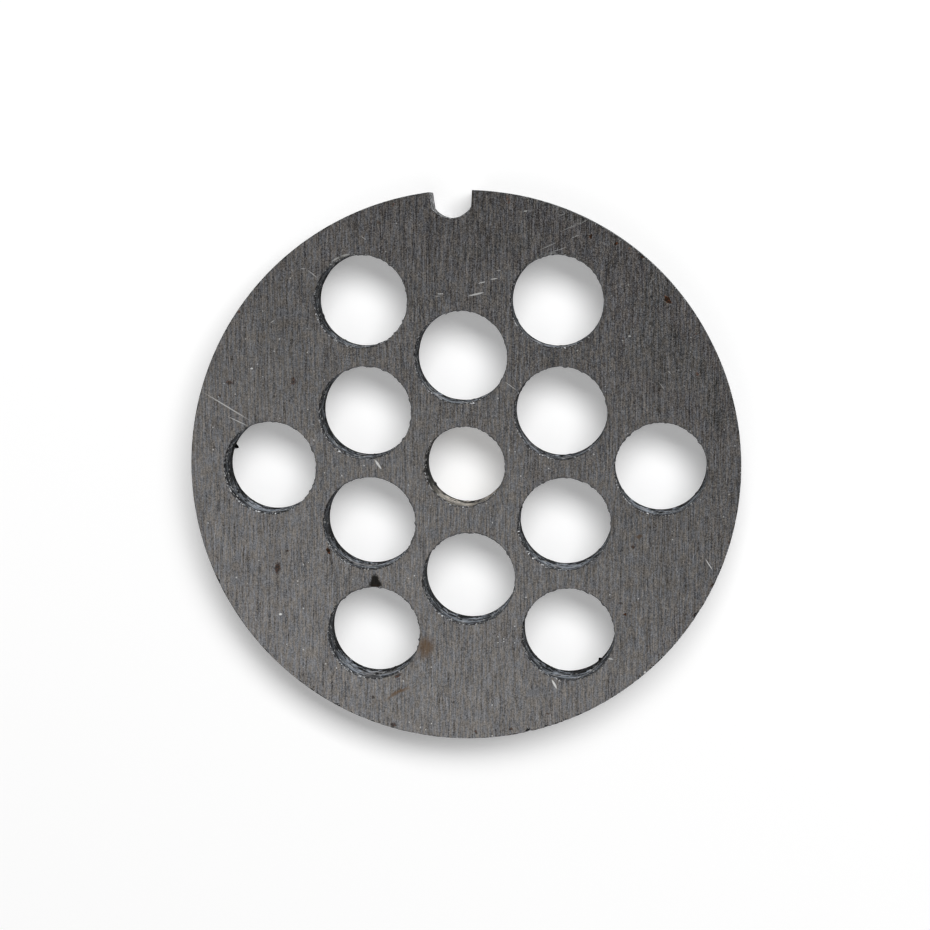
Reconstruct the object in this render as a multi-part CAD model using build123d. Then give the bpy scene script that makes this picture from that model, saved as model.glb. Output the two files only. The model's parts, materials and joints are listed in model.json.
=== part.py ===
from build123d import *
import math
import os

# Plate of a hand meat grinder: one flat disc of ground steel, turned outside,
# bored for the screw's stud, drilled for the meat and slotted for the pin that
# stops it turning in the barrel.
# Millimetres. +Z is up, out of the face that the knife sweeps. The origin is the
# bore's centre on the back face, and the notch is at +Y.

# Disc
plate_d = 54.0            # outside diameter, which fits the barrel's mouth
plate_t = 5.0             # thickness over both ground faces
rim_break = 0.2           # chamfer round the rim, on both faces

# Bore for the screw's stud
bore_d = 7.9

# Meat holes: slanted columns, each half a step out from the next
meat_d = 9.1              # drilled diameter
column_web = 1.8          # steel between two holes of one column
side_web = 1.93           # mean steel between neighbours in two columns
pattern_lean = 1.9        # degrees that the columns lean to the rows' square
pattern_turn = -2.8       # degrees that the rows are turned to X
pattern_drop = 0.17       # how far the pattern sits below the bore's centre
rim_land = 3.0            # least steel outside a hole, up to the rim
least_web = 1.5           # least steel between a hole and the bore or the notch

# Notch for the barrel's pin
notch_w = 4.2             # between its parallel flanks
notch_depth = 2.7         # from the rim to the deepest point
notch_sag = 1.05          # how far its round bottom lies below the flanks' ends

through = 1.0             # how far a cutter runs past each face it cuts

plate_r = plate_d / 2
bore_r = bore_d / 2
meat_r = meat_d / 2
hole_step = meat_d + column_web
neighbour_step = meat_d + side_web
column_step = math.sqrt(neighbour_step**2 - (hole_step / 2) ** 2)


def disc():
    """The turned disc with its bore: one section, revolved round Z."""
    with BuildPart() as body:
        with BuildSketch(Plane.XZ):
            with BuildLine():
                Polyline(
                    (bore_r, 0),
                    (plate_r - rim_break, 0),
                    (plate_r, rim_break),
                    (plate_r, plate_t - rim_break),
                    (plate_r - rim_break, plate_t),
                    (bore_r, plate_t),
                    close=True,
                )
            make_face()
        revolve(axis=Axis.Z)
    return body.part


def is_room_for_hole(place):
    """Whether a meat hole here leaves enough steel to the rim, the bore and the notch."""
    to_bore = place.length - meat_r - bore_r
    to_rim = plate_r - place.length - meat_r
    to_notch = (place - Vector(0, plate_r - notch_depth)).length - meat_r
    return to_rim >= rim_land and min(to_bore, to_notch) >= least_web


def meat_hole_places():
    """Centres of the meat holes, column by column, wherever one has room."""
    lean = math.radians(pattern_lean)
    reach = math.ceil(plate_r / (meat_r + min(column_web, side_web)))
    places = []
    for column in range(-reach, reach + 1):
        half_step_out = (column % 2) / 2
        for row in range(-reach, reach + 1):
            along = (row + half_step_out) * hole_step
            square = Vector(column * column_step - along * math.sin(lean), along * math.cos(lean))
            place = square.rotate(Axis.Z, pattern_turn) - Vector(0, pattern_drop)
            if is_room_for_hole(place):
                places.append(place)
    return places


def meat_holes():
    """Straight drills through both faces."""
    with BuildPart() as drills:
        with BuildSketch(Plane.XY.offset(-through)):
            with Locations(*meat_hole_places()):
                Circle(meat_r)
        extrude(amount=plate_t + 2 * through)
    return drills.part


def notch():
    """The slot's cutter: parallel flanks that end on a shallow arc."""
    half_w = notch_w / 2
    bottom = plate_r - notch_depth
    flank_end = bottom + notch_sag
    mouth = plate_r + through
    with BuildPart() as cutter:
        with BuildSketch(Plane.XY.offset(-through)):
            with BuildLine():
                ThreePointArc((-half_w, flank_end), (0, bottom), (half_w, flank_end))
                Polyline(
                    (half_w, flank_end),
                    (half_w, mouth),
                    (-half_w, mouth),
                    (-half_w, flank_end),
                )
            make_face()
        extrude(amount=plate_t + 2 * through)
    return cutter.part


def grinder_plate():
    return disc() - meat_holes() - notch()


os.makedirs("parts", exist_ok=True)
export_step(grinder_plate(), "parts/grinder_plate.step")
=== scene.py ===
import json
import math

import bmesh
import bpy
from mathutils import Matrix, Vector, noise


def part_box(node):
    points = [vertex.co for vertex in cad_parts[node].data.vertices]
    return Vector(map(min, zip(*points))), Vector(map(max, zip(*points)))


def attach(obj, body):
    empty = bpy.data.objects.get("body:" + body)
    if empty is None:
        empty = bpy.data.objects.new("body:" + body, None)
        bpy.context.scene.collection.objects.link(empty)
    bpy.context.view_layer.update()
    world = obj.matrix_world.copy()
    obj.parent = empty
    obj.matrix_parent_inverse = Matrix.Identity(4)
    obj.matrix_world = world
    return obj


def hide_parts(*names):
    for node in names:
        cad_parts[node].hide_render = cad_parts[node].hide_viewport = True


bl_info = {
    "name": "Meat grinder plate",
    "version": (1, 0, 0),
    "blender": (4, 5, 0),
    "location": "View3D > Sidebar > Grinder plate",
    "description": "Dresses the packed plate: drilled walls, burred edges, ground faces, rust",
    "category": "Object",
}

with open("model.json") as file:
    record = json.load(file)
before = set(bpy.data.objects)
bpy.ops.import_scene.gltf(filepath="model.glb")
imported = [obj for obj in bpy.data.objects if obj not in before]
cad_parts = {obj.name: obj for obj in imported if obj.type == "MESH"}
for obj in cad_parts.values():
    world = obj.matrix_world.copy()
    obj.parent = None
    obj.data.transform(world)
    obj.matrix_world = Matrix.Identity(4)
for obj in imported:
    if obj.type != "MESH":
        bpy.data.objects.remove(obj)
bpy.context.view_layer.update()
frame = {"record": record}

MM = 0.001
NODE = "grinder_plate"
BODY = "root"

# Places on the cutting face, in mm from the bore's centre: x, y, length, width, turn in degrees.
STRONG_RUST = (
    (20.55, 15.35, 0.95, 0.5, -50),
    (15.0, -15.2, 0.3, 0.28, 0),
    (-13.9, -7.75, 0.7, 0.35, 110),
    (13.4, 21.8, 0.5, 0.24, 85),
    (15.8, 21.0, 0.4, 0.3, 0),
    (18.3, 19.6, 0.35, 0.25, 0),
    (23.6, -12.75, 0.4, 0.2, 60),
)
FAINT_RUST = (
    (-19.0, -9.2, 1.3, 0.65, 80),
    (-16.4, 9.2, 0.8, 0.5, 90),
    (21.7, -15.65, 0.4, 0.2, 50),
    (-7.7, -20.4, 0.8, 0.3, 25),
    (-7.1, 24.2, 0.5, 0.4, 0),
    (5.6, 25.8, 1.1, 0.4, 100),
    (-22.7, 9.3, 0.8, 0.6, 0),
    (22.65, -14.5, 0.3, 0.15, 55),
    (20.85, -16.9, 0.3, 0.15, 50),
    (23.2, 11.9, 0.4, 0.3, 0),
    (6.9, -24.8, 0.3, 0.3, 0),
    (16.1, -21.4, 0.3, 0.15, 30),
    (-23.7, 8.0, 0.4, 0.25, 90),
    (17.1, 20.5, 0.4, 0.3, 0),
    (23.1, 8.0, 0.4, 0.4, 0),
    (-18.0, -7.5, 0.4, 0.3, 0),
    (14.6, -14.1, 0.4, 0.35, 0),
    (16.1, -8.6, 0.5, 0.3, 90),
    (-21.3, 16.2, 0.4, 0.3, 0),
    (-21.7, -16.2, 0.5, 0.3, 0),
    (25.4, -8.6, 0.5, 0.25, 70),
    (-8.4, -25.3, 0.6, 0.55, 0),
    (-10.3, -22.5, 0.35, 0.3, 0),
    (3.2, -26.2, 0.4, 0.3, 0),
    (-0.3, -26.3, 0.4, 0.3, 90),
    (-5.6, 25.9, 0.4, 0.3, 90),
)
STAINS = (
    (-4.75, -17.8, 2.2, 2.0, 45),
    (-7.8, -22.15, 2.9, 0.42, 22),
    (16.7, -7.5, 0.7, 0.6, 0),
)
SMUDGES = (
    (-9.45, -10.85, 1.25, 0.85, 87),
    (-9.7, -11.15, 0.95, 0.6, 62),
    (-9.15, -11.15, 0.95, 0.6, 115),
)
SMUDGE_BASE = ((-9.4, -11.4, 0.8, 0.24, -2),)
DEEP_SCRATCHES = (
    (-8.5, 0.6, 1.2, 0.24, -58),
    (2.0, 16.8, 1.7, 0.2, 10),
    (7.7, -21.9, 1.1, 0.22, -64),
    (23.4, -10.7, 1.3, 0.12, -60),
    (-19.0, -13.8, 0.35, 0.24, 0),
    (3.8, 18.2, 0.8, 0.12, 4),
    (2.6, 17.9, 0.8, 0.12, 11),
    (-1.5, 17.0, 0.7, 0.1, -3),
    (16.7, 12.0, 0.3, 0.2, 0),
    (-20.4, 10.6, 0.3, 0.2, 0),
    (7.2, 24.6, 0.4, 0.2, 0),
    (16.67, -21.09, 0.25, 0.25, 0),
    (8.82, -25.51, 0.3, 0.15, 0),
    (9.32, -25.33, 0.2, 0.15, 0),
)
HAIR_SCRATCHES = (
    (-23.1, 7.0, 6.2, 0.16, -34),
    (-22.1, 5.5, 2.7, 0.12, -28),
    (-14.78, 20.12, 0.65, 0.1, -8),
    (-13.88, 19.54, 1.65, 0.12, -42),
    (-11.51, 20.9, 1.05, 0.22, 26),
    (-10.6, 21.21, 1.08, 0.22, 11),
    (-8.7, 22.8, 0.7, 0.12, -36),
    (-18.1, 15.1, 0.6, 0.12, 28),
    (-1.8, 16.8, 0.7, 0.1, -3),
    (4.3, 19.0, 0.5, 0.1, -3),
    (11.4, 22.8, 2.6, 0.1, 21),
    (11.9, 21.9, 1.3, 0.1, 21),
    (9.6, 20.4, 0.9, 0.1, 10),
    (9.2, 21.1, 2.1, 0.1, 21),
    (10.2, 20.7, 2.2, 0.1, 15),
    (10.8, 24.1, 1.0, 0.1, 21),
    (12.8, 23.3, 1.9, 0.1, 27),
    (19.28, 17.42, 0.7, 0.1, 22),
    (18.98, 17.12, 0.6, 0.1, 50),
    (18.88, 16.4, 1.1, 0.1, 95),
    (20.4, 8.3, 0.7, 0.1, -48),
    (19.6, 7.0, 1.1, 0.1, -55),
    (4.9, 7.7, 1.6, 0.1, -40),
    (13.3, -19.6, 0.8, 0.2, -15),
)
# Nicks in the rim's and the notch's top edge: x, y, depth, width, in mm.
NICKS = (
    (8.6, -25.6, 0.3, 0.5),
    (6.7, -26.2, 0.25, 0.5),
    (5.0, -26.5, 0.4, 0.7),
    (-24.8, -9.6, 0.25, 0.4),
    (24.0, -12.0, 0.15, 0.6),
    (22.0, -15.6, 0.2, 0.9),
)
# Burrs left hanging into a hole from its back edge: x, y, reach, width, in mm.
TAGS = (
    (-23.18, 2.55, 0.8, 0.6),
    (12.1, -20.4, 0.55, 0.5),
    (6.24, -19.42, 0.5, 0.5),
    (-3.13, -1.89, 0.6, 0.7),
    (-13.25, -13.2, 0.4, 0.5),
    (-6.4, -9.2, 0.25, 0.5),
    (3.6, -2.9, 0.2, 0.5),
)


# ---------------------------------------------------------------- colours and nodes


SMOOTH = {"interpolation_type": "SMOOTHSTEP"}
COLOURS = {"data_type": "RGBA"}

# Inputs by number: a Map Range's value and its two ranges, and a Mix's share and two colours.
# A Math or Vector Math node's operands share one name, so they are numbered from 0 as they stand.
VALUE, LOW, HIGH, TO_LOW, TO_HIGH = range(5)
SHARE, FIRST, SECOND = 0, 6, 7


def linear(hex_colour):
    """An sRGB hex colour as the linear one that a shader takes."""
    parts = [int(hex_colour[i : i + 2], 16) / 255 for i in (1, 3, 5)]
    bright = [((p + 0.055) / 1.055) ** 2.4 if p > 0.04045 else p / 12.92 for p in parts]
    return (*bright, 1.0)


def add(tree, kind, inputs, **settings):
    """One node with its settings. An input is given by name or number, and takes a value, a
    socket, or a node, which stands for the first of its outputs in use."""
    made = tree.nodes.new("ShaderNode" + kind)
    for name, value in settings.items():
        setattr(made, name, value)
    for name, value in inputs.items():
        if isinstance(value, bpy.types.Node):
            value = next(socket for socket in value.outputs if socket.enabled)
        if isinstance(value, bpy.types.NodeSocket):
            tree.links.new(value, made.inputs[name])
        else:
            made.inputs[name].default_value = value
    return made


def new_material(name):
    """A node material with an empty tree, and its tree."""
    material = bpy.data.materials.new(name)
    material.use_nodes = True
    material.node_tree.nodes.clear()
    return material, material.node_tree


def finish_material(tree, **inputs):
    """Ends the tree in one shader. An underscore in an input's name stands for a space."""
    shader = add(tree, "BsdfPrincipled", {k.replace("_", " "): v for k, v in inputs.items()})
    add(tree, "OutputMaterial", {"Surface": shader})


def place_in_mm(tree, turn=0.0, drop=0.0):
    """Object coordinates in millimetres, turned about Z, with Z counted from a face."""
    inputs = {
        "Vector": add(tree, "TexCoord", {}).outputs["Object"],
        "Location": (0, 0, -drop / MM),
        "Rotation": (0, 0, turn),
        "Scale": (1 / MM, 1 / MM, 1 / MM),
    }
    return add(tree, "Mapping", inputs)


def grain(tree, place, size, detail=2.0, rough=0.5, offset=0.0):
    """Smooth noise round 0.5 whose features are size = (x, y, z) millimetres. An offset keeps
    it from lining up with another noise of the same size."""
    per_mm = tuple(1 / s for s in size)
    scaled = add(tree, "Mapping", {"Vector": place, "Location": (offset,) * 3, "Scale": per_mm})
    return add(tree, "TexNoise", {"Vector": scaled, "Scale": 1.0, "Detail": detail, "Roughness": rough})


def cells(tree, place, size, offset=0.0):
    """A random value from 0 to 1 in each of many cells of size = (x, y, z) millimetres."""
    per_mm = tuple(1 / s for s in size)
    scaled = add(tree, "Mapping", {"Vector": place, "Location": (offset,) * 3, "Scale": per_mm})
    tile = add(tree, "TexVoronoi", {"Vector": scaled, "Scale": 1.0})
    return add(tree, "SeparateColor", {0: tile.outputs["Color"]})


def wobble(tree, place, size, reach):
    """The place pushed about by noise, so that what is drawn on it has a ragged edge. The
    noise's features are size mm, and it pushes by up to half of reach, in mm, each way."""
    rough = add(tree, "TexNoise", {"Vector": place, "Scale": 1 / size, "Detail": 3.0})
    centred = {0: rough.outputs["Color"], 1: (0.5, 0.5, 0.5)}
    push = add(tree, "VectorMath", centred, operation="SUBTRACT")
    push = add(tree, "VectorMath", {0: push, "Scale": reach}, operation="SCALE")
    return add(tree, "VectorMath", {0: place, 1: push}, operation="ADD")


def paint(tree, colour, place, marks, fade, strength, over):
    """The colour with marks painted over it, and how much they cover. Each mark is x, y, length
    and width in mm and a turn in degrees, and it fades out between the two shares of its half
    sizes in fade."""
    nearest = None
    for x, y, length, width, turn in marks:
        inputs = {
            "Vector": place,
            "Location": (x, y, 0),
            "Rotation": (0, 0, math.radians(turn)),
            "Scale": (length / 2, width / 2, 1),
        }
        local = add(tree, "Mapping", inputs, vector_type="TEXTURE")
        away = add(tree, "VectorMath", {0: local}, operation="LENGTH")
        if nearest is not None:
            away = add(tree, "Math", {0: nearest, 1: away}, operation="MINIMUM")
        nearest = away
    whole, gone = fade
    steps = {VALUE: nearest, LOW: whole, HIGH: gone, TO_LOW: strength, TO_HIGH: 0.0}
    cover = add(tree, "MapRange", steps, **SMOOTH)
    return add(tree, "Mix", {SHARE: cover, FIRST: colour, SECOND: over}, **COLOURS), cover


# ---------------------------------------------------------------- materials


def ground_face_steel(name, looks, face_z, with_marks):
    """Surface-ground carbon steel: dull grey with fine straight streaks, bluish and brownish,
    and where it has marks, specks of rust, thin brown stains, black scale and bright scratches.
    Real grinding lines are a few hundredths of a millimetre wide. These are drawn wider, because
    those would be too fine to show."""
    material, tree = new_material(name)
    turned = place_in_mm(tree, turn=-looks.grain_turn)
    line_mm = looks.grain_width / MM

    # The tone is made of short lines, long lines and grit, in shares that add up to 1.
    short_lines = cells(tree, turned, (line_mm, 1.2, 1.0))
    long_lines = cells(tree, turned, (line_mm * 1.2, 4.0, 1.0), offset=7.0)
    grit = cells(tree, turned, (0.09, 0.09, 1.0), offset=19.0)
    tone = add(tree, "Math", {0: short_lines, 1: 0.3}, operation="MULTIPLY")
    tone = add(tree, "Math", {0: long_lines, 1: 0.23, 2: tone}, operation="MULTIPLY_ADD")
    tone = add(tree, "Math", {0: grit, 1: 0.47, 2: tone}, operation="MULTIPLY_ADD")

    # The steel turns from bluish to brownish in streaks and, a little, in broad bands.
    cool, warm = linear(looks.cool), linear(looks.warm)
    streaks = grain(tree, turned, (0.22, 1.2, 1.0), detail=1.0, offset=31.0)
    streaks = add(tree, "MapRange", {VALUE: streaks, LOW: 0.38, HIGH: 0.62}, **SMOOTH)
    bands = grain(tree, turned, (3.0, 12.0, 5.0), offset=11.0)
    bands = add(tree, "MapRange", {VALUE: bands, LOW: 0.35, HIGH: 0.7, TO_HIGH: 0.2}, **SMOOTH)
    colour = add(tree, "Mix", {SHARE: streaks, FIRST: cool, SECOND: warm}, **COLOURS)
    colour = add(tree, "Mix", {SHARE: bands, FIRST: colour, SECOND: warm}, **COLOURS)
    level = add(tree, "Math", {0: tone, 1: 2.0}, operation="MULTIPLY")
    toned = {SHARE: 1.0, FIRST: colour, SECOND: level}
    colour = add(tree, "Mix", toned, blend_type="MULTIPLY", **COLOURS)

    # Pinprick pits here and there, a few of them bright and a few brown.
    pit_spacing = 0.55
    pits = add(tree, "TexVoronoi", {"Vector": turned, "Scale": 1 / pit_spacing})
    pit = {VALUE: pits, LOW: 0.1, HIGH: 0.16, TO_LOW: 1.0, TO_HIGH: 0.0}
    pit = add(tree, "MapRange", pit, **SMOOTH)
    chance = add(tree, "SeparateColor", {0: pits.outputs["Color"]}).outputs
    bright = {VALUE: chance["Red"], LOW: 0.86, HIGH: 0.9, TO_HIGH: 0.6}
    bright = add(tree, "MapRange", bright, **SMOOTH)
    bright = add(tree, "Math", {0: pit, 1: bright}, operation="MULTIPLY")
    brown = {VALUE: chance["Green"], LOW: 0.88, HIGH: 0.92, TO_HIGH: 0.5}
    brown = add(tree, "MapRange", brown, **SMOOTH)
    brown = add(tree, "Math", {0: pit, 1: brown}, operation="MULTIPLY")
    colour = add(tree, "Mix", {SHARE: bright, FIRST: colour, SECOND: linear(looks.glint)}, **COLOURS)
    colour = add(tree, "Mix", {SHARE: brown, FIRST: colour, SECOND: linear(looks.stain)}, **COLOURS)

    uneven = 0.06
    smoothest, roughest = looks.roughness - uneven, looks.roughness + uneven
    steps = {VALUE: tone, LOW: 0.2, HIGH: 0.8, TO_LOW: smoothest, TO_HIGH: roughest}
    roughness = add(tree, "MapRange", steps, **SMOOTH)
    metallic = 1.0
    if with_marks:
        # Rust, scale and stains are dull and rough. Scratches show bare steel, and their bright colour
        # is partly a painted glint.
        flat = place_in_mm(tree, drop=face_z)
        ragged = wobble(tree, flat, 0.35, 0.45)
        blurred = wobble(tree, flat, 1.1, 1.4)
        mottle = grain(tree, flat, (0.2, 0.2, 1.0), offset=3.0)
        mottle = add(tree, "MapRange", {VALUE: mottle, LOW: 0.48, HIGH: 0.66}, **SMOOTH)
        rust, black, glint = linear(looks.rust), linear(looks.smudge), linear(looks.glint)
        rusty = {SHARE: mottle, FIRST: rust, SECOND: linear(looks.fresh_rust)}
        rusty = add(tree, "Mix", rusty, **COLOURS)
        colour, _ = paint(tree, colour, blurred, STAINS, (0.3, 1.3), 0.72, linear(looks.stain))
        colour, faint = paint(tree, colour, ragged, FAINT_RUST, (0.55, 1.25), 0.75, rusty)
        colour, strong = paint(tree, colour, ragged, STRONG_RUST, (0.85, 1.35), 1.0, rusty)
        colour, smudge = paint(tree, colour, ragged, SMUDGES, (0.6, 1.25), 0.95, black)
        colour, _ = paint(tree, colour, ragged, SMUDGE_BASE, (0.7, 1.2), 0.8, rust)
        # The scratches are real marks; their bright colour is partly a painted glint.
        colour, _ = paint(tree, colour, flat, HAIR_SCRATCHES, (0.3, 1.1), 0.65, glint)
        colour, _ = paint(tree, colour, flat, DEEP_SCRATCHES, (0.6, 1.1), 1.0, glint)
        dull = add(tree, "Math", {0: faint, 1: strong}, operation="MAXIMUM")
        dull = add(tree, "Math", {0: dull, 1: smudge}, operation="MAXIMUM")
        metallic = add(tree, "Math", {0: 1.0, 1: dull}, operation="SUBTRACT")
        roughness = add(tree, "Math", {0: dull, 1: 0.35, 2: roughness}, operation="MULTIPLY_ADD")
    height = grain(tree, turned, (line_mm, 1.5, 1.0), detail=1.0)
    finish_material(
        tree,
        Base_Color=colour,
        Metallic=metallic,
        Roughness=roughness,
        Specular_IOR_Level=0.05,
        Normal=add(tree, "Bump", {"Strength": 1.0, "Distance": looks.grain_depth, "Height": height}),
    )
    return material


def drilled_wall_steel(name, looks, light, dark_below, bottom_shade_top, facing_x_share):
    """A drilled hole's wall in carbon steel: dull, black with old fat and scale, ringed by the drill,
    flecked bright where it tore. It is also painted black near the back edge and painted darker where
    it faces X, which is painted shade. Dark_below is the tone below which it is black, bottom_shade_top
    the height in mm up to which the painted shade at the back edge is whole, and facing_x_share the
    share of the bare steel that shows where the wall faces X."""
    material, tree = new_material(name)
    place = place_in_mm(tree)
    height = add(tree, "SeparateXYZ", {0: place}).outputs["Z"]
    normal = add(tree, "NewGeometry", {}).outputs["Normal"]
    sideways = add(tree, "SeparateXYZ", {0: normal}).outputs["X"]
    rings = grain(tree, place, (5.0, 5.0, 0.7), rough=0.6)
    speckle = grain(tree, place, (0.8, 0.8, 0.5), rough=0.75, offset=9.0)
    patches = grain(tree, place, (1.8, 1.8, 2.5), offset=5.0)
    torn = {VALUE: sideways, LOW: -0.3, HIGH: 0.5, TO_LOW: 0.2, TO_HIGH: 0.5}
    torn = add(tree, "MapRange", torn, **SMOOTH)
    tone = add(tree, "Mix", {"Factor": torn, "A": rings, "B": speckle})
    shade = {VALUE: tone, LOW: dark_below - 0.04, HIGH: dark_below + 0.16}
    shade = add(tree, "MapRange", shade, **SMOOTH)

    # The painted shade at the bottom has a ragged top: speckle, which is 0.5 on average, raises the
    # height at which it is read, and the top is raised by as much.
    ragged = 12.0
    torn_height = add(tree, "Math", {0: speckle, 1: ragged, 2: height}, operation="MULTIPLY_ADD")
    torn_top = bottom_shade_top + ragged / 2

    # Just below a lip at the top the wall is darker in a band, and the lip has been rubbed bare again.
    lip = add(tree, "MapRange", {VALUE: height, LOW: 4.4, HIGH: 4.7}, **SMOOTH)
    dark_band = add(tree, "MapRange", {VALUE: height, LOW: 3.9, HIGH: 4.2}, **SMOOTH)
    dark_band = add(tree, "Math", {0: dark_band, 1: lip}, operation="SUBTRACT")
    less_in_patches = {VALUE: patches, LOW: 0.34, HIGH: 0.58, TO_LOW: 0.3, TO_HIGH: 1.0}
    # Painted shade: black near the back edge, up to a ragged line.
    none_in_bottom_shade = {VALUE: torn_height, LOW: torn_top, HIGH: torn_top + 1.0}
    # Painted shade: darker where the wall faces X, down to a given share of the bare steel.
    facing_x_shade = {VALUE: sideways, LOW: 0.5, HIGH: 0.98, TO_LOW: 1.0, TO_HIGH: facing_x_share}
    for steps in (less_in_patches, none_in_bottom_shade, facing_x_shade):
        share = add(tree, "MapRange", steps, **SMOOTH)
        shade = add(tree, "Math", {0: shade, 1: share}, operation="MULTIPLY")
    share = add(tree, "MapRange", {VALUE: dark_band, TO_LOW: 1.0, TO_HIGH: 0.3})
    shade = add(tree, "Math", {0: shade, 1: share}, operation="MULTIPLY")
    wear_and_highlight = {VALUE: speckle, LOW: 0.46, HIGH: 0.56, TO_LOW: 0.1, TO_HIGH: 0.8}
    wear_and_highlight = add(tree, "MapRange", wear_and_highlight, **SMOOTH)
    wear_and_highlight = add(tree, "Math", {0: lip, 1: wear_and_highlight}, operation="MULTIPLY")
    shade = add(tree, "Math", {0: shade, 1: wear_and_highlight}, operation="MAXIMUM")
    colour = {SHARE: shade, FIRST: linear(looks.wall_dark), SECOND: linear(light)}
    colour = add(tree, "Mix", colour, **COLOURS)

    # Here and there it is tinted brown, and the upper part has bright flecks.
    tint = add(tree, "MapRange", {VALUE: patches, LOW: 0.54, HIGH: 0.64, TO_HIGH: 0.45}, **SMOOTH)
    brown = {SHARE: tint, FIRST: colour, SECOND: linear(looks.wall_brown)}
    colour = add(tree, "Mix", brown, blend_type="MULTIPLY", **COLOURS)
    fleck = grain(tree, place, (0.3, 0.3, 0.4), detail=1.0, offset=17.0)
    fleck = add(tree, "MapRange", {VALUE: fleck, LOW: 0.62, HIGH: 0.72}, **SMOOTH)
    high_up = add(tree, "MapRange", {VALUE: height, LOW: 1.0, HIGH: 3.0}, **SMOOTH)
    fleck = add(tree, "Math", {0: fleck, 1: high_up}, operation="MULTIPLY")
    colour = add(tree, "Mix", {SHARE: fleck, FIRST: colour, SECOND: linear(looks.glint)}, **COLOURS)
    finish_material(
        tree,
        Base_Color=colour,
        Metallic=add(tree, "MapRange", {VALUE: fleck, LOW: 0.2, HIGH: 0.8}, **SMOOTH),
        Roughness=0.7,
        Specular_IOR_Level=0.03,
        Normal=add(tree, "Bump", {"Strength": 1.0, "Distance": 0.04 * MM, "Height": tone}),
    )
    return material


def broken_edge_steel(name, clean, shade_colour, light, bright_side, wear_and_highlight):
    """The thin broken edge round a hole or the rim, in carbon steel: dull, with torn bright flecks.
    Where it faces the bright side its dull parts are painted darker, which is painted shade, and it has
    more flecks, which is painted highlight: wear_and_highlight is how much they gain there."""
    material, tree = new_material(name)
    speckle = grain(tree, place_in_mm(tree), (0.16, 0.16, 0.3), rough=0.7)
    normal = add(tree, "NewGeometry", {}).outputs["Normal"]
    facing = add(tree, "VectorMath", {0: normal, 1: bright_side}, operation="DOT_PRODUCT")
    # Painted highlight: more bright flecks where the edge faces the bright side.
    highlight_gain = add(tree, "MapRange", {VALUE: facing, LOW: 0.3, HIGH: 0.7, TO_HIGH: wear_and_highlight}, **SMOOTH)
    torn = add(tree, "Math", {0: speckle, 1: highlight_gain}, operation="ADD")
    torn = add(tree, "MapRange", {VALUE: torn, LOW: 0.58, HIGH: 0.66}, **SMOOTH)
    # Painted shade: the dull parts are darker where the edge faces the bright side.
    shade_share = add(tree, "MapRange", {VALUE: facing, LOW: -0.2, HIGH: 0.3}, **SMOOTH)
    dull = add(tree, "Mix", {SHARE: shade_share, FIRST: linear(clean), SECOND: linear(shade_colour)}, **COLOURS)
    colour = add(tree, "Mix", {SHARE: torn, FIRST: dull, SECOND: linear(light)}, **COLOURS)
    finish_material(tree, Base_Color=colour, Metallic=0.5, Roughness=0.5)
    return material


def turned_rim_steel(name, looks):
    """Lathe-turned carbon steel: dark grey, with fine lines round it and a little rust."""
    material, tree = new_material(name)
    place = place_in_mm(tree)
    lines = grain(tree, place, (6.0, 6.0, 0.09), detail=3.0, rough=0.6)
    patches = grain(tree, place, (2.5, 2.5, 1.2), detail=3.0, offset=3.0)
    between = add(tree, "MapRange", {VALUE: lines, LOW: 0.35, HIGH: 0.65}, **SMOOTH)
    rusted = add(tree, "MapRange", {VALUE: patches, LOW: 0.62, HIGH: 0.72, TO_HIGH: 0.7}, **SMOOTH)
    shades = {SHARE: between, FIRST: linear(looks.rim_dark), SECOND: linear(looks.rim_light)}
    colour = add(tree, "Mix", shades, **COLOURS)
    colour = add(tree, "Mix", {SHARE: rusted, FIRST: colour, SECOND: linear(looks.rust)}, **COLOURS)
    finish_material(
        tree,
        Base_Color=colour,
        Metallic=add(tree, "Math", {0: 1.0, 1: rusted}, operation="SUBTRACT"),
        Roughness=0.5,
        Normal=add(tree, "Bump", {"Strength": 1.0, "Distance": 0.01 * MM, "Height": lines}),
    )
    return material


def filed_notch_steel(name, looks):
    """Hand-filed carbon steel, in the notch: dark, with bright torn flecks."""
    material, tree = new_material(name)
    speckle = grain(tree, place_in_mm(tree), (0.3, 0.3, 0.7), detail=3.0, rough=0.7)
    torn = add(tree, "MapRange", {VALUE: speckle, LOW: 0.42, HIGH: 0.68}, **SMOOTH)
    shades = {SHARE: torn, FIRST: linear(looks.edge_dirt_and_shade), SECOND: linear(looks.edge_light)}
    finish_material(
        tree,
        Base_Color=add(tree, "Mix", shades, **COLOURS),
        Metallic=add(tree, "Math", {0: torn, 1: 0.6}, operation="MULTIPLY"),
        Roughness=0.6,
        Specular_IOR_Level=0.1,
        Normal=add(tree, "Bump", {"Strength": 1.0, "Distance": 0.04 * MM, "Height": speckle}),
    )
    return material


# ---------------------------------------------------------------- the plate's mesh


# The plate's material slots, in the order in which its operator fills them.
FACE, BACK, WALL, EDGE, RIM, NOTCH, BORE, RIM_EDGE = range(8)

RIM_SEED = 1.3
FIRST_HOLE_SEED = 2.7
SEED_STEP = 1.9
SHARP_ANGLE = math.radians(35)


def mount(name):
    """The record's mount of that name."""
    return next(m for m in frame["record"]["mounts"] if m["name"] == name)


def meat_hole_centres():
    """The meat holes' centres, from the boxes that the record states in them."""
    centres = []
    for opening in frame["record"]["physics"]["openings"]:
        low, high = (Vector(corner) for corner in opening["box_m"])
        centres.append(((low + high) / 2).to_2d())
    if not centres:
        raise RuntimeError("The record states no holes for the plate")
    return centres


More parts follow.
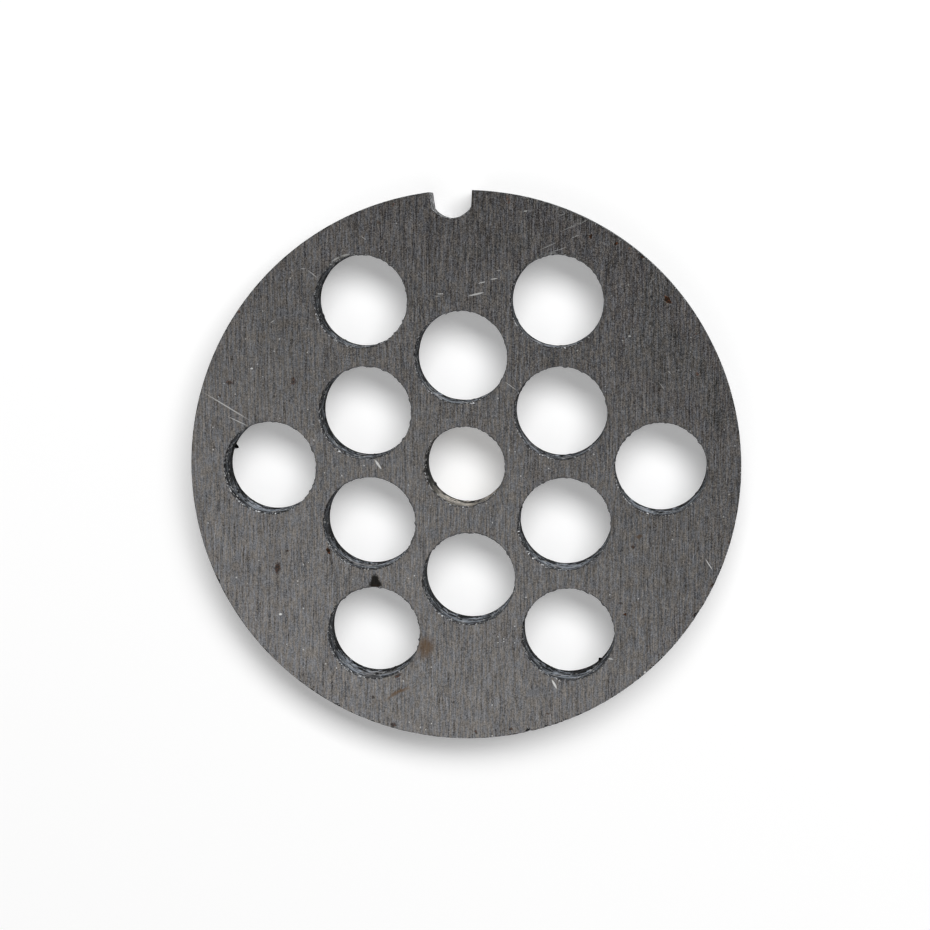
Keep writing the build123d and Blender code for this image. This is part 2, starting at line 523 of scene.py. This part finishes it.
class Wall:
    """One closed wall of the plate: its top loop, where its void lies, and how rough it is."""

    def __init__(self, edges, towards_void, seed, material, feed, chatter, burr):
        self.edges = edges
        self.towards_void = towards_void
        self.seed = seed
        self.material = material
        self.feed = feed
        self.chatter = chatter
        self.burr = burr
        self.true_place = {vert: vert.co.copy() for edge in edges for vert in edge.verts}


def roughness_at(point, size, seed):
    """Smooth noise from -1 to 1, with features of that size, for a point in metres."""
    return noise.noise(point / size + Vector((seed, -seed, 2 * seed)))


def peak(point, spots):
    """How much of the nearest spot (x, y, height, width) there is at this point."""
    most = 0.0
    for x, y, height, width in spots:
        away = (point.to_2d() - Vector((x, y)) * MM).length / (width * MM / 2)
        most = max(most, height * MM * (1 - away))
    return most


def loop_edges(verts):
    """The edges of the loop that these points make, each once and in the same order each run."""
    return list(dict.fromkeys(edge for vert in verts for edge in vert.link_edges))


def shift_loop(wall, verts, shift):
    """Moves points of a wall from their true places towards its void."""
    for vert in verts:
        place = wall.true_place[vert]
        vert.co = place + wall.towards_void(place) * shift(place)


def sink(bm, wall, levels):
    """Extrudes a wall's top loop down through the levels, and returns the loop on the back.
    A level is its height, the shift into the void as a function of the place, its material."""
    edges = wall.edges
    for z, shift, material in levels:
        made = bmesh.ops.extrude_edge_only(bm, edges=edges)["geom"]
        verts = {g for g in made if isinstance(g, bmesh.types.BMVert)}
        edges = [g for g in made if isinstance(g, bmesh.types.BMEdge) and set(g.verts) <= verts]
        for face in (g for g in made if isinstance(g, bmesh.types.BMFace)):
            face.material_index = material
            face.smooth = True
        for vert in verts:
            above = next(e.other_vert(vert) for e in vert.link_edges if e.other_vert(vert) not in verts)
            place = wall.true_place[above].copy()
            place.z = z
            wall.true_place[vert] = place
        shift_loop(wall, verts, shift)
    return edges


def wall_levels(sizes, wall, thickness):
    """The levels of a wall: a broken top edge, its burr, the drill's rings, a broken back edge.
    Each shift is in metres, and is positive towards the void."""

    def edge_break(place):
        """Uneven everywhere, and wide where a chip tore out or there is a nick."""
        torn = 3.0 * max(0.0, roughness_at(place, 0.5 * MM, wall.seed) - 0.15)
        fine = 1.6 * abs(roughness_at(place, 0.24 * MM, wall.seed + 3))
        return -sizes.edge_break * (0.35 + torn + fine) - peak(place, NICKS)

    def burr(place):
        """Stands proud here and there, and is gone in a nick."""
        proud = 1.6 * max(0.0, roughness_at(place, 0.45 * MM, wall.seed + 9) - 0.05)
        torn = 0.9 * abs(roughness_at(place, 0.24 * MM, wall.seed + 15))
        return wall.burr * (proud + torn) - 0.4 * peak(place, NICKS)

    def ring(place):
        """The drill's rings, and tears that run much longer round the wall than down it."""
        wave = math.sin(2 * math.pi * (place.z / wall.feed + wall.seed))
        tear_stretch = 5
        along = Vector((place.x / tear_stretch, place.y / tear_stretch, place.z))
        torn = roughness_at(along, 0.3 * MM, wall.seed)
        return wall.chatter * (0.35 * wave + torn)

    def back_burr(place):
        """Where the drill came out: a few small burrs, and the ones that still hang on."""
        tag = max(0.0, roughness_at(place, 0.5 * MM, wall.seed + 21) - 0.45)
        return 2.2 * wall.burr * tag + peak(place, TAGS)

    def back_break(place):
        """Narrow, and even all round."""
        return -sizes.edge_break * 0.8

    # The edge break is one step high, and the burr dies away within the next three.
    step = sizes.edge_break
    edge = RIM_EDGE if wall.material == RIM else EDGE
    levels = [
        (thickness, edge_break, edge),
        (thickness - step, burr, edge),
        (thickness - 2.2 * step, lambda place: 0.3 * burr(place), edge),
    ]
    top, bottom = thickness - 4 * step, 2.5 * step
    count = sizes.wall_levels
    for i in range(count):
        levels.append((top + (bottom - top) * i / (count - 1), ring, wall.material))
    levels.append((step, back_burr, wall.material))
    levels.append((0.0, back_break, wall.material))
    return levels


def hole_loop(bm, centre, radius, segments, z):
    """A hole's top edge."""
    made = bmesh.ops.create_circle(
        bm,
        cap_ends=False,
        radius=radius,
        segments=segments,
        matrix=Matrix.Translation((centre.x, centre.y, z)),
    )
    return loop_edges(made["verts"])


def rim_loop(bm, sizes, radius, z):
    """The rim's edge with its notch: two arcs, spun, and two flanks, subdivided."""
    half = sizes.notch_width / 2
    foot = half - sizes.notch_taper
    corner_y = math.sqrt(radius**2 - half**2)
    flank_end = radius - sizes.notch_depth + sizes.notch_sag
    arc_r = (foot**2 + sizes.notch_sag**2) / (2 * sizes.notch_sag)
    arc_y = flank_end - sizes.notch_sag + arc_r
    rim_angle = 2 * math.pi - 2 * math.asin(half / radius)
    arc_angle = 2 * math.asin(foot / arc_r)
    corners = [(half, corner_y, z), (-half, corner_y, z), (-foot, flank_end, z), (foot, flank_end, z)]
    bmesh.ops.spin(
        bm, geom=[bm.verts.new(corners[0])], cent=(0, 0, 0), axis=(0, 0, -1), angle=rim_angle,
        steps=sizes.rim_segments,
    )
    bmesh.ops.spin(
        bm, geom=[bm.verts.new(corners[2])], cent=(0, arc_y, 0), axis=(0, 0, 1), angle=arc_angle,
        steps=sizes.notch_segments,
    )
    ends = [min(bm.verts, key=lambda v: (v.co - Vector(corner)).length) for corner in corners]
    flanks = [bm.edges.new(ends[1:3]), bm.edges.new((ends[3], ends[0]))]
    bmesh.ops.subdivide_edges(bm, edges=flanks, cuts=sizes.notch_segments // 3)
    return bm.edges[:], arc_y, half, flank_end


def fill_face(bm, edges, material):
    """Fills one flat side of the plate between its rim and its holes."""
    made = bmesh.ops.triangle_fill(bm, use_beauty=True, use_dissolve=False, edges=edges)["geom"]
    for face in (g for g in made if isinstance(g, bmesh.types.BMFace)):
        face.material_index = material
        face.smooth = False


def fix_order(bm):
    """Sorts the faces by their points, because an extrusion leaves them in another order each
    run, and the same plate has to come out each time."""
    bm.verts.index_update()
    count = len(bm.verts)

    def rank(face):
        numbers = sorted(vert.index for vert in face.verts)
        return (numbers[0] * count + numbers[1]) * count + numbers[-1]

    bm.faces.sort(key=rank)


def build_plate(sizes):
    """The plate's mesh: all its top edges, filled in between, then sunk to the back and filled."""
    low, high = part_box(NODE)
    thickness = high.z - low.z
    hair = 0.001 * MM
    plate_r = min(-low.x, high.x, -low.y) - hair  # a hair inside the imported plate's box
    bore_r = mount("bore")["dims"]["r_mm"] * MM
    bm = bmesh.new()
    rim_edges, arc_y, half, flank_end = rim_loop(bm, sizes, plate_r, thickness)

    def out_of_rim(place):
        """Straight out from the rim, straight across from a flank, or towards the arc's centre."""
        inside_notch = abs(place.x) <= half + hair and place.y > 0
        if not inside_notch:
            return Vector((place.x, place.y, 0)).normalized()
        if place.y > flank_end + hair:
            return Vector((-math.copysign(1, place.x), 0, 0))
        return Vector((-place.x, arc_y - place.y, 0)).normalized()

    no_chatter = no_burr = 0.0
    rim = Wall(rim_edges, out_of_rim, RIM_SEED, RIM, sizes.drill_feed, no_chatter, no_burr)
    walls = [rim]
    holes = [(Vector((0, 0)), bore_r)] + [(c, sizes.meat_diameter / 2) for c in meat_hole_centres()]
    for number, (centre, radius) in enumerate(holes):
        edges = hole_loop(bm, centre, radius, sizes.hole_segments, thickness)

        def into_hole(place, centre=centre):
            return Vector((centre.x - place.x, centre.y - place.y, 0)).normalized()

        seed = FIRST_HOLE_SEED + SEED_STEP * number
        drilled = WALL if number else BORE
        wall = Wall(edges, into_hole, seed, drilled, sizes.drill_feed, sizes.chatter, sizes.burr)
        walls.append(wall)
    levels = [wall_levels(sizes, wall, thickness) for wall in walls]
    for wall, (top, *_) in zip(walls, levels):
        shift_loop(wall, list(wall.true_place), top[1])
    fill_face(bm, [edge for wall in walls for edge in wall.edges], FACE)
    back = [edge for wall, (_, *lower) in zip(walls, levels) for edge in sink(bm, wall, lower)]
    fill_face(bm, back, BACK)
    bmesh.ops.recalc_face_normals(bm, faces=bm.faces)
    if bm.calc_volume(signed=True) < 0:
        bmesh.ops.reverse_faces(bm, faces=bm.faces)
    well_inside = plate_r - 0.1 * MM
    for face in bm.faces:
        middle = face.calc_center_median()
        if face.material_index == RIM and middle.y > 0 and middle.to_2d().length < well_inside:
            face.material_index = NOTCH
    fix_order(bm)
    mesh = bpy.data.meshes.new("ground_plate")
    bm.to_mesh(mesh)
    bm.free()
    mesh.set_sharp_from_angle(angle=SHARP_ANGLE)
    for polygon in mesh.polygons:
        polygon.use_smooth = polygon.material_index not in (FACE, BACK)
    return mesh


# ---------------------------------------------------------------- settings


class PlateSizes(bpy.types.PropertyGroup):
    """Sizes of the plate and of what its tools left on it"""

    meat_diameter: bpy.props.FloatProperty(
        name="Meat hole", description="Drilled diameter", default=9.1 * MM, unit="LENGTH"
    )
    notch_width: bpy.props.FloatProperty(
        name="Notch width", description="Between its flanks", default=4.2 * MM, unit="LENGTH"
    )
    notch_depth: bpy.props.FloatProperty(
        name="Notch depth", description="From the rim", default=2.7 * MM, unit="LENGTH"
    )
    notch_sag: bpy.props.FloatProperty(
        name="Notch sag", description="Rise of its round bottom", default=1.05 * MM, unit="LENGTH"
    )
    notch_taper: bpy.props.FloatProperty(
        name="Notch taper", description="How far each flank leans in", default=0.15 * MM, unit="LENGTH"
    )
    edge_break: bpy.props.FloatProperty(
        name="Edge break", description="Width of the broken edges", default=0.07 * MM, unit="LENGTH"
    )
    burr: bpy.props.FloatProperty(
        name="Burr", description="How far burrs lean into a hole", default=0.11 * MM, unit="LENGTH"
    )
    drill_feed: bpy.props.FloatProperty(
        name="Drill feed", description="Height of one drill ring", default=0.62 * MM, unit="LENGTH"
    )
    chatter: bpy.props.FloatProperty(
        name="Chatter", description="Depth of the drill's rings", default=0.05 * MM, unit="LENGTH"
    )
    hole_segments: bpy.props.IntProperty(
        name="Hole segments", description="Points round a hole", default=224, min=24
    )
    rim_segments: bpy.props.IntProperty(
        name="Rim segments", description="Points round the rim", default=840, min=48
    )
    notch_segments: bpy.props.IntProperty(
        name="Notch segments", description="Points along its bottom", default=30, min=6
    )
    wall_levels: bpy.props.IntProperty(
        name="Wall levels", description="Rings of points down a wall", default=15, min=3
    )


class SteelLooks(bpy.types.PropertyGroup):
    """Colours, as sRGB hex values, and grain of the steel"""

    cool: bpy.props.StringProperty(
        name="Cool steel", description="Blue-grey streaks of the ground face", default="#727376"
    )
    warm: bpy.props.StringProperty(
        name="Warm steel", description="Brown-grey streaks of the ground face", default="#77736f"
    )
    # On the scratches this colour is partly a painted glint.
    glint: bpy.props.StringProperty(
        name="Glint", description="Bare steel in scratches and flecks", default="#d8d8d6"
    )
    rust: bpy.props.StringProperty(
        name="Rust", description="The dark parts of a rust speck", default="#231a12"
    )
    fresh_rust: bpy.props.StringProperty(
        name="Fresh rust", description="The orange parts of a rust speck", default="#5a3826"
    )
    stain: bpy.props.StringProperty(
        name="Stain", description="Thin brown stains", default="#5f4a33"
    )
    smudge: bpy.props.StringProperty(
        name="Smudge", description="Black scale", default="#13110d"
    )
    wall_dark: bpy.props.StringProperty(
        name="Wall shade", description="Old fat and scale in the holes", default="#0a0a0b"
    )
    wall_light: bpy.props.StringProperty(
        name="Wall steel", description="Drilled steel where it shows", default="#b9c1cc"
    )
    bore_light: bpy.props.StringProperty(
        name="Bore steel", description="Steel worn clean by the stud", default="#e6dfd4"
    )
    wall_brown: bpy.props.StringProperty(
        name="Wall brown", description="Brown tint in the holes", default="#b89a78"
    )
    rim_dark: bpy.props.StringProperty(
        name="Rim shade", description="Lines of the turned rim", default="#1b1b1c"
    )
    rim_light: bpy.props.StringProperty(
        name="Rim steel", description="The turned rim between its lines", default="#56585b"
    )
    edge_clean: bpy.props.StringProperty(
        name="Edge, clean", description="Dull parts of a hole's broken edge", default="#5a5a5b"
    )
    # On the holes' broken edges this colour is painted shade where they face the bright side; in the
    # notch it is the filed steel's own dark.
    edge_dirt_and_shade: bpy.props.StringProperty(
        name="Edge, dirty", description="The same where dirt has caught on it", default="#1c1c1d"
    )
    edge_light: bpy.props.StringProperty(
        name="Edge steel", description="Bright parts of the broken edge", default="#c0c1c3"
    )
    grain_turn: bpy.props.FloatProperty(
        name="Grain turn", description="Turn of the grinding lines from Y",
        default=math.radians(-3), subtype="ANGLE",
    )
    grain_width: bpy.props.FloatProperty(
        name="Grain width", description="Width of one grinding line", default=0.07 * MM, unit="LENGTH"
    )
    grain_depth: bpy.props.FloatProperty(
        name="Grain depth", description="Depth of the lines", default=0.003 * MM, unit="LENGTH"
    )
    roughness: bpy.props.FloatProperty(
        name="Roughness", description="Of the ground face", default=0.2, min=0.0, max=1.0
    )


class StudioSettings(bpy.types.PropertyGroup):
    """Camera, floor and lights"""

    camera_place: bpy.props.FloatVectorProperty(
        name="Camera", description="Where the camera is", size=3,
        default=(18.57 * MM, 23.97 * MM, 240.44 * MM), subtype="TRANSLATION",
    )
    camera_aim: bpy.props.FloatVectorProperty(
        name="Aim", description="What the camera looks at", size=3,
        default=(6.2 * MM, 5.77 * MM, 5 * MM), subtype="TRANSLATION",
    )
    camera_roll: bpy.props.FloatProperty(
        name="Roll", description="Turn of the picture's top from Y",
        default=math.radians(2.89), subtype="ANGLE",
    )
    camera_shift: bpy.props.FloatProperty(
        name="Shift", description="Of the frame, left and down alike, in frame widths",
        default=-0.0645,
    )
    lens: bpy.props.FloatProperty(
        name="Lens", description="Focal length on a 36 mm sensor", default=93.8, min=10.0
    )
    key_angle: bpy.props.FloatProperty(
        name="Key angle", description="From straight above", default=math.radians(31), subtype="ANGLE"
    )
    key_turn: bpy.props.FloatProperty(
        name="Key turn", description="From X round towards Y", default=math.radians(60), subtype="ANGLE"
    )
    key_power: bpy.props.FloatProperty(
        name="Key power", description="Of the soft box", default=9.9, min=0.0, unit="POWER"
    )
    key_width: bpy.props.FloatProperty(
        name="Key width", description="Level side of the soft box", default=0.9, unit="LENGTH"
    )
    key_height: bpy.props.FloatProperty(
        name="Key height", description="Sloping side of the soft box", default=0.42, unit="LENGTH"
    )
    floor_glow: bpy.props.FloatProperty(
        name="Floor glow", description="Share of white that the floor gives by itself",
        default=0.25, min=0.0, max=1.0,
    )
    sky: bpy.props.FloatProperty(
        name="Sky", description="Strength of the dim studio overhead", default=0.04, min=0.0
    )
    walls: bpy.props.FloatProperty(
        name="Walls", description="Strength of the pale walls that the steel mirrors", default=0.5,
        min=0.0,
    )
    panel_strength: bpy.props.FloatProperty(
        name="Panel", description="Strength of the soft panel", default=1.17, min=0.0
    )
    panel_angle: bpy.props.FloatProperty(
        name="Panel angle", description="From straight above", default=math.radians(26), subtype="ANGLE"
    )
    panel_turn: bpy.props.FloatProperty(
        name="Panel turn", description="From X round towards Y", default=math.radians(-122),
        subtype="ANGLE",
    )
    panel_reach: bpy.props.FloatProperty(
        name="Panel reach", description="From its middle to its edge", default=math.radians(30),
        subtype="ANGLE",
    )


# ---------------------------------------------------------------- operators


class GRINDER_OT_plate(bpy.types.Operator):
    """Builds the dressed plate in place of the plain one"""

    bl_idname = "grinder.plate"
    bl_label = "Ground plate"

    def execute(self, context):
        sizes = context.scene.grinder_sizes
        looks = context.scene.grinder_looks
        mesh = build_plate(sizes)
        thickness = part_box(NODE)[1].z
        # Painted shade in both: black near the back edge, and darker where the wall faces X.
        drilled = {"light": looks.wall_light, "dark_below": 0.43, "bottom_shade_top": 1.3, "facing_x_share": 0.3}
        bore = {"light": looks.bore_light, "dark_below": 0.34, "bottom_shade_top": 0.9, "facing_x_share": 0.0}
        # The holes' broken edges are painted darker where they face the upper right, with more bright
        # flecks there: painted shade and painted highlight.
        hole_edge = {
            "clean": looks.edge_clean,
            "shade_colour": looks.edge_dirt_and_shade,
            "light": looks.edge_light,
            "bright_side": (0.8, 0.6, 0),
            "wear_and_highlight": 0.08,
        }
        # The rim's broken edge has more bright flecks where it faces the lower right: painted
        # highlight.
        rim_edge = {
            "clean": looks.rim_dark,
            "shade_colour": looks.rim_dark,
            "light": looks.edge_light,
            "bright_side": (0.4, -0.9, 0),
            "wear_and_highlight": 0.07,
        }
        materials = (
            ground_face_steel("ground_cutting_face", looks, face_z=thickness, with_marks=True),
            ground_face_steel("ground_back_face", looks, face_z=0.0, with_marks=False),
            drilled_wall_steel("drilled_wall", looks, **drilled),
            broken_edge_steel("broken_edge", **hole_edge),
            turned_rim_steel("turned_rim", looks),
            filed_notch_steel("filed_notch", looks),
            drilled_wall_steel("worn_bore", looks, **bore),
            broken_edge_steel("rim_edge", **rim_edge),
        )
        for material in materials:
            mesh.materials.append(material)
        plate = bpy.data.objects.new("ground_plate", mesh)
        context.scene.collection.objects.link(plate)
        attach(plate, BODY)
        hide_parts(NODE)
        return {"FINISHED"}


class GRINDER_OT_stage(bpy.types.Operator):
    """Sets the pale floor, the soft light and the camera"""

    bl_idname = "grinder.stage"
    bl_label = "Stage"

    def execute(self, context):
        studio = context.scene.grinder_studio
        make_floor(context.scene, studio)
        make_key(context.scene, studio)
        make_sky(context.scene, studio)
        make_camera(context.scene, studio)
        context.scene.view_settings.view_transform = "Standard"
        return {"FINISHED"}


FLOOR_COLOUR = "#ececec"
FLOOR_HALF = 2.0
FLOOR_DROP = 0.02 * MM


def make_floor(scene, studio):
    """A matt white floor. The camera and mirrors see it with a little light of its own, so that
    it is white where the key reaches it and pale grey in the shadow."""
    material, tree = new_material("pale_floor")
    ray = add(tree, "LightPath", {}).outputs
    seen = {0: ray["Is Camera Ray"], 1: ray["Is Glossy Ray"]}
    seen = add(tree, "Math", seen, operation="MAXIMUM")
    seen = add(tree, "Math", {0: seen, 1: ray["Is Transmission Ray"]}, operation="MAXIMUM")
    strength = add(tree, "Math", {0: seen, 1: studio.floor_glow}, operation="MULTIPLY")
    sheet = add(tree, "BsdfDiffuse", {"Color": linear(FLOOR_COLOUR)})
    glow = add(tree, "Emission", {"Color": (1, 1, 1, 1), "Strength": strength})
    add(tree, "OutputMaterial", {"Surface": add(tree, "AddShader", {0: sheet, 1: glow})})
    bm = bmesh.new()
    bmesh.ops.create_grid(bm, x_segments=1, y_segments=1, size=FLOOR_HALF)
    mesh = bpy.data.meshes.new("floor")
    bm.to_mesh(mesh)
    bm.free()
    mesh.materials.append(material)
    floor = bpy.data.objects.new("floor", mesh)
    floor.location.z = -FLOOR_DROP  # or else the plate's back would lie in it
    scene.collection.objects.link(floor)


def towards(angle, turn):
    """The direction that leans by an angle from straight above, turned from X round towards Y."""
    return Matrix.Rotation(turn, 3, "Z") @ Vector((math.sin(angle), 0, math.cos(angle)))


def make_key(scene, studio):
    """A soft box 1 m away, up to the right, which throws the shadow down to the left."""
    away = towards(studio.key_angle, studio.key_turn)
    light = bpy.data.lights.new("key", "AREA")
    light.shape = "RECTANGLE"
    light.size = studio.key_width
    light.size_y = studio.key_height
    light.energy = studio.key_power
    key = bpy.data.objects.new("key", light)
    key.location = away
    key.rotation_euler = (-away).to_track_quat("-Z", "Y").to_euler()
    scene.collection.objects.link(key)


def make_sky(scene, studio):
    """A dim studio with one large soft panel overhead to the lower left, which the ground face
    mirrors: it makes that side of the plate the paler one. Seen from low down, the face mirrors
    pale walls instead. To the camera itself the studio is white."""
    world = bpy.data.worlds.new("studio")
    world.use_nodes = True
    tree = world.node_tree
    tree.nodes.clear()
    direction = add(tree, "TexCoord", {}).outputs["Generated"]
    ray = add(tree, "LightPath", {}).outputs
    height = add(tree, "SeparateXYZ", {0: direction}).outputs["Z"]
    walls = {VALUE: height, LOW: 0.3, HIGH: 0.6, TO_LOW: studio.walls, TO_HIGH: 0.0}
    walls = add(tree, "MapRange", walls, **SMOOTH)
    mirrored = {0: walls, 1: ray["Is Glossy Ray"], 2: studio.sky}
    room = add(tree, "Math", mirrored, operation="MULTIPLY_ADD")
    middle = towards(studio.panel_angle, studio.panel_turn)
    facing = add(tree, "VectorMath", {0: direction, 1: middle}, operation="DOT_PRODUCT")
    edge = math.cos(studio.panel_reach)
    steps = {VALUE: facing, LOW: edge, HIGH: 1.0, TO_LOW: room, TO_HIGH: studio.panel_strength}
    strength = add(tree, "MapRange", steps, **SMOOTH)
    strength = add(tree, "Math", {0: strength, 1: ray["Is Camera Ray"]}, operation="MAXIMUM")
    background = add(tree, "Background", {"Color": (1, 1, 1, 1), "Strength": strength})
    add(tree, "OutputWorld", {"Surface": background})
    scene.world = world


def make_camera(scene, studio):
    """Looks down on the plate from above its upper right."""
    data = bpy.data.cameras.new("camera")
    data.sensor_width = 36
    data.lens = studio.lens
    data.shift_x = studio.camera_shift
    data.shift_y = studio.camera_shift
    data.clip_start = 0.01
    data.clip_end = 20
    camera = bpy.data.objects.new("camera", data)
    place = Vector(studio.camera_place)
    forward = (Vector(studio.camera_aim) - place).normalized()
    top = Vector((math.sin(studio.camera_roll), math.cos(studio.camera_roll), 0))
    right = forward.cross(top).normalized()
    up = right.cross(forward)
    turn = Matrix((right, up, -forward)).transposed()
    camera.matrix_world = Matrix.Translation(place) @ turn.to_4x4()
    scene.collection.objects.link(camera)
    scene.camera = camera


class GRINDER_PT_panel(bpy.types.Panel):
    """Lists the operators, and the sizes, looks and studio settings that they read"""

    bl_label = "Grinder plate"
    bl_idname = "GRINDER_PT_panel"
    bl_space_type = "VIEW_3D"
    bl_region_type = "UI"
    bl_category = "Grinder plate"

    def draw(self, context):
        for operator in OPERATORS:
            self.layout.operator(operator.bl_idname)
        for group_name, group in GROUPS:
            for name in group.__annotations__:
                self.layout.prop(getattr(context.scene, group_name), name)


GROUPS = (
    ("grinder_sizes", PlateSizes),
    ("grinder_looks", SteelLooks),
    ("grinder_studio", StudioSettings),
)
OPERATORS = (GRINDER_OT_plate, GRINDER_OT_stage)


def register():
    for name, group in GROUPS:
        bpy.utils.register_class(group)
        setattr(bpy.types.Scene, name, bpy.props.PointerProperty(type=group))
    for operator in OPERATORS:
        bpy.utils.register_class(operator)
    bpy.utils.register_class(GRINDER_PT_panel)


def unregister():
    bpy.utils.unregister_class(GRINDER_PT_panel)
    for operator in reversed(OPERATORS):
        bpy.utils.unregister_class(operator)
    for name, group in reversed(GROUPS):
        delattr(bpy.types.Scene, name)
        bpy.utils.unregister_class(group)


def main():
    register()
    bpy.ops.grinder.plate()
    bpy.ops.grinder.stage()


if __name__ == "__main__":
    main()
